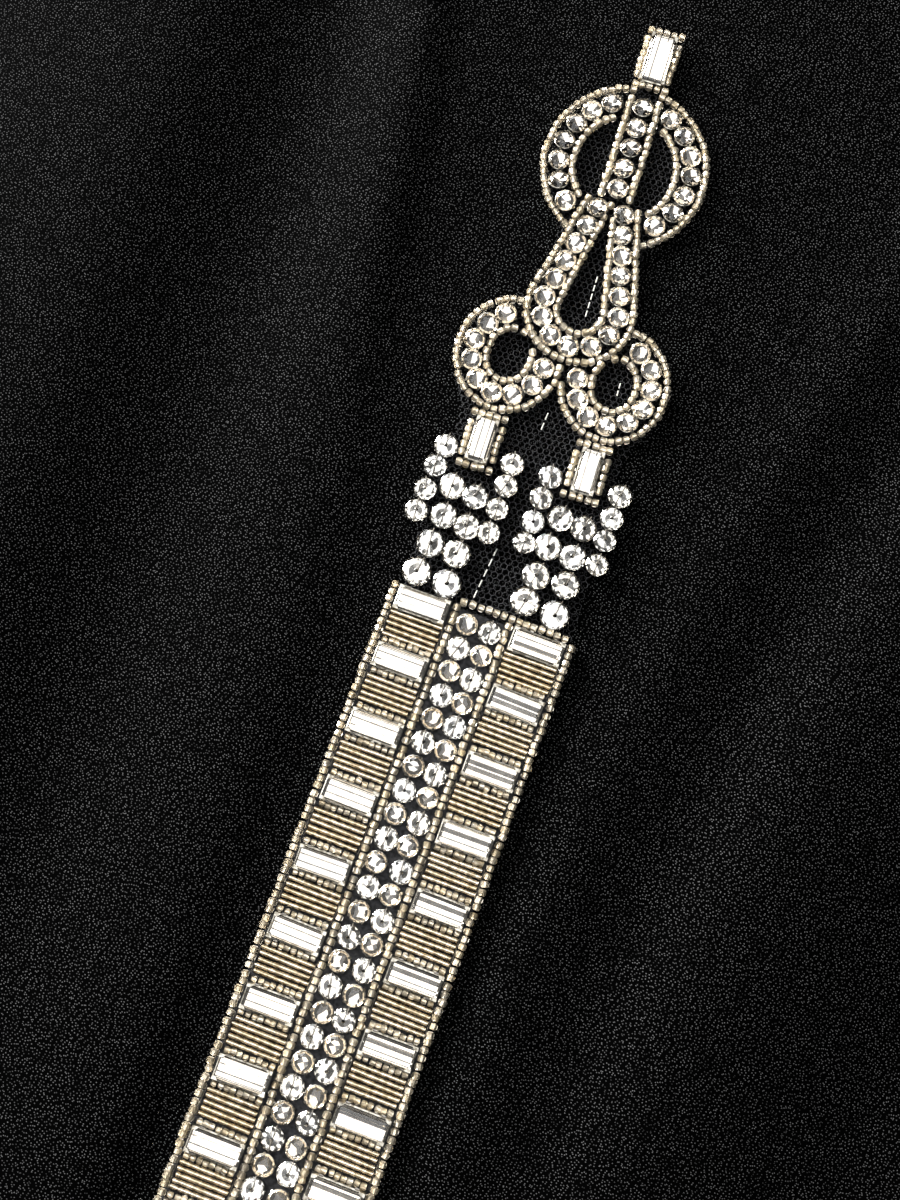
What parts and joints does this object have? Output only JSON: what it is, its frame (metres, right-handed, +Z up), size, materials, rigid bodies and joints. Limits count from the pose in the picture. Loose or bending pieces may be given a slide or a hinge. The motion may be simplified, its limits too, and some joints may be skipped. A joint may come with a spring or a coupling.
{
  "type": "column gown laid flat",
  "caption": "Sleeveless floor-length column gown in black crepe, laid flat, with a silver beaded art-deco applique down its centre front.",
  "frame": {"origin": "on the surface the gown lies on, under the middle of its bounding box", "axes": "+Z up from the surface, +Y from the hem towards the neckline, +X across the gown"},
  "size_m": [0.5232, 1.5, 0.0124],
  "materials": {
    "black_crepe": "matt pebbled crepe with a soft low sheen",
    "black_tulle": "fine hexagonal net",
    "silver_lined_beads": "champagne silver-lined glass seeds and bugles",
    "foiled_crystal": "faceted crystal with a silver foil back",
    "clear_discs": "flat faceted crystal discs sewn through the middle"
  },
  "bodies": {
    "root": {"front_panel": "black_crepe", "back_panel": "black_crepe", "net_backing": "black_tulle", "band_left": "silver_lined_beads", "band_right": "silver_lined_beads", "band_centre_left": "foiled_crystal", "band_centre_right": "foiled_crystal", "small_ring_left": "foiled_crystal", "small_ring_right": "foiled_crystal", "teardrop": "foiled_crystal", "ring_arc_left": "foiled_crystal", "ring_arc_right": "foiled_crystal", "centre_bar": "foiled_crystal", "tip_setting": "silver_lined_beads", "drop_setting_left": "silver_lined_beads", "drop_setting_right": "silver_lined_beads", "tassel_left_1": "clear_discs", "tassel_left_2": "clear_discs", "tassel_left_3": "clear_discs", "tassel_left_4": "clear_discs", "tassel_right_1": "clear_discs", "tassel_right_2": "clear_discs", "tassel_right_3": "clear_discs", "tassel_right_4": "clear_discs"}
  },
  "joints": []
}
